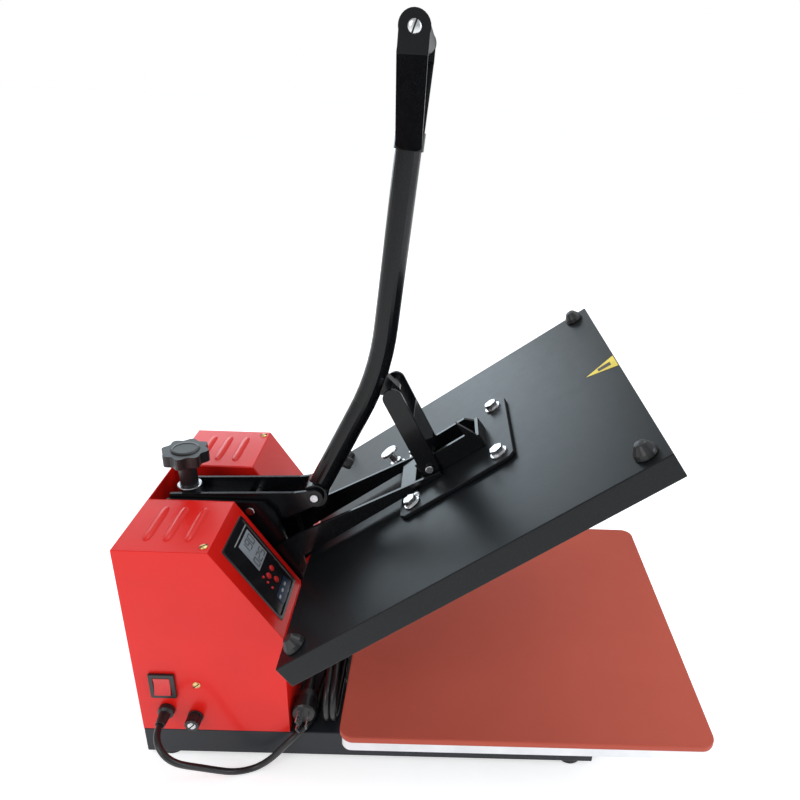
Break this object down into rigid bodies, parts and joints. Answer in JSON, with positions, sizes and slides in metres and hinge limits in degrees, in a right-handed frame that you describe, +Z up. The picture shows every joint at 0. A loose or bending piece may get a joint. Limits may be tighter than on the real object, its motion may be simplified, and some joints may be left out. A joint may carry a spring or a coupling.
{
  "type": "heat press",
  "caption": "Clamshell heat press with a bent lever and cross handle, toggle linkage, hinged square upper platen, silicone-padded lower bed, twin control boxes and coiled mains lead.",
  "frame": {"origin": "on the table, under the middle of the press's footprint", "axes": "+X from the control boxes towards the operator at the open side, +Y across the press away from the control panel, +Z up"},
  "size_m": [0.6026, 0.404, 0.7465],
  "materials": {
    "slate_paint": "satin",
    "black_paint": "gloss",
    "red_paint": "gloss",
    "plate_aluminium": "satin",
    "silicone": "matte",
    "rubber": "matte",
    "black_plastic": "matte",
    "red_plastic": "gloss",
    "window_plastic": "gloss",
    "board": "matte",
    "transformer_iron": "matte",
    "zinc": "bright",
    "grip_plastic": "matte",
    "cord_rubber": "matte"
  },
  "bodies": {
    "frame": {"near_rail": "slate_paint", "far_rail": "slate_paint", "mast_deck": "slate_paint", "front_crossmember": "slate_paint", "rear_near_foot": "rubber", "rear_far_foot": "rubber", "front_near_foot": "rubber", "front_far_foot": "rubber", "bed_pedestal": "black_paint", "lower_plate": "plate_aluminium", "silicone_pad": "silicone", "near_case": "red_paint", "far_case": "red_paint", "rear_shroud": "red_paint", "control_panel": "black_plastic", "display_window": "window_plastic", "power_switch_bezel": "black_plastic", "fuse_holder": "black_plastic", "cord_gland": "black_plastic", "control_board": "board", "solid_state_relay": "black_plastic", "transformer": "transformer_iron", "near_mast_plate": "black_paint", "far_mast_plate": "black_paint", "pressure_stop": "black_paint", "hinge_shaft": "zinc", "rocker_pin": "zinc", "supply_cord": "cord_rubber", "plug_cord": "cord_rubber", "cord_hank": "cord_rubber", "mains_plug": "cord_rubber"},
    "rocker": {"rocker_arm": "black_paint", "lever_bolt": "zinc", "lock_collar": "zinc"},
    "knob": {"pressure_knob": "black_plastic"},
    "lever": {"lever_tube": "black_paint", "link_upper_pin": "zinc", "handle_yoke": "black_paint", "cross_grip": "grip_plastic"},
    "heater": {"swing_arm": "black_paint", "link_bracket": "black_paint", "link_lower_pin": "zinc", "mounting_plate": "black_paint", "plate_bolt_1": "zinc", "plate_bolt_2": "zinc", "plate_bolt_3": "zinc", "plate_bolt_4": "zinc", "platen_cover": "black_paint", "heating_plate": "plate_aluminium", "rear_near_corner_cap": "black_plastic", "rear_far_corner_cap": "black_plastic", "front_near_corner_cap": "black_plastic", "front_far_corner_cap": "black_plastic"},
    "link": {"toggle_link": "black_paint"},
    "switch_key": {"power_switch_rocker": "red_plastic"},
    "fuse_top": {"fuse_cap": "black_plastic"},
    "button_1": {"panel_button_1": "red_plastic"},
    "button_2": {"panel_button_2": "red_plastic"},
    "button_3": {"panel_button_3": "red_plastic"}
  },
  "joints": [
    {"name": "platen_hinge", "type": "hinge", "parent": "frame", "child": "heater", "pos_m": [-0.214, 0, 0.1054], "axis": [0, 1, 0], "range_deg": [0, 35.9]},
    {"name": "rocker_tilt", "type": "hinge", "parent": "frame", "child": "rocker", "pos_m": [-0.1953, 0, 0.257], "axis": [0, 1, 0], "range_deg": [0, 1.5]},
    {"name": "knob_turn", "type": "hinge", "parent": "rocker", "child": "knob", "pos_m": [-0.2693, 0, 0.3], "axis": [0, 0, 1], "range_deg": [-360, 0]},
    {"name": "lever_swing", "type": "hinge", "parent": "rocker", "child": "lever", "pos_m": [-0.1253, 0, 0.272], "axis": [0, 1, 0], "range_deg": [0, 84.14]},
    {"name": "link_swing", "type": "hinge", "parent": "heater", "child": "link", "pos_m": [0.00199, 0, 0.31916], "axis": [0, 1, 0], "range_deg": [-67.77, 0]},
    {"name": "power_switch_rock", "type": "hinge", "parent": "frame", "child": "switch_key", "pos_m": [-0.272, -0.129, 0.105], "axis": [1, 0, 0], "range_deg": [0, 10]},
    {"name": "fuse_cap_turn", "type": "hinge", "parent": "frame", "child": "fuse_top", "pos_m": [-0.2423, -0.131, 0.061], "axis": [0, 1, 0], "range_deg": [0, 60]},
    {"name": "button_1_press", "type": "slide", "parent": "frame", "child": "button_1", "axis": [-0.8392, 0, -0.5438], "range_m": [0, 0.0012], "stiffness_N_per_m": 300},
    {"name": "button_2_press", "type": "slide", "parent": "frame", "child": "button_2", "axis": [-0.8392, 0, -0.5438], "range_m": [0, 0.0012], "stiffness_N_per_m": 300},
    {"name": "button_3_press", "type": "slide", "parent": "frame", "child": "button_3", "axis": [-0.8392, 0, -0.5438], "range_m": [0, 0.0012], "stiffness_N_per_m": 300}
  ],
  "couplings": [
    {"joint": "lever_swing", "follows": "platen_hinge", "ratio": 2.3435},
    {"joint": "link_swing", "follows": "platen_hinge", "ratio": -1.8876},
    {"joint": "knob_turn", "follows": "rocker_tilt", "ratio": -240}
  ]
}
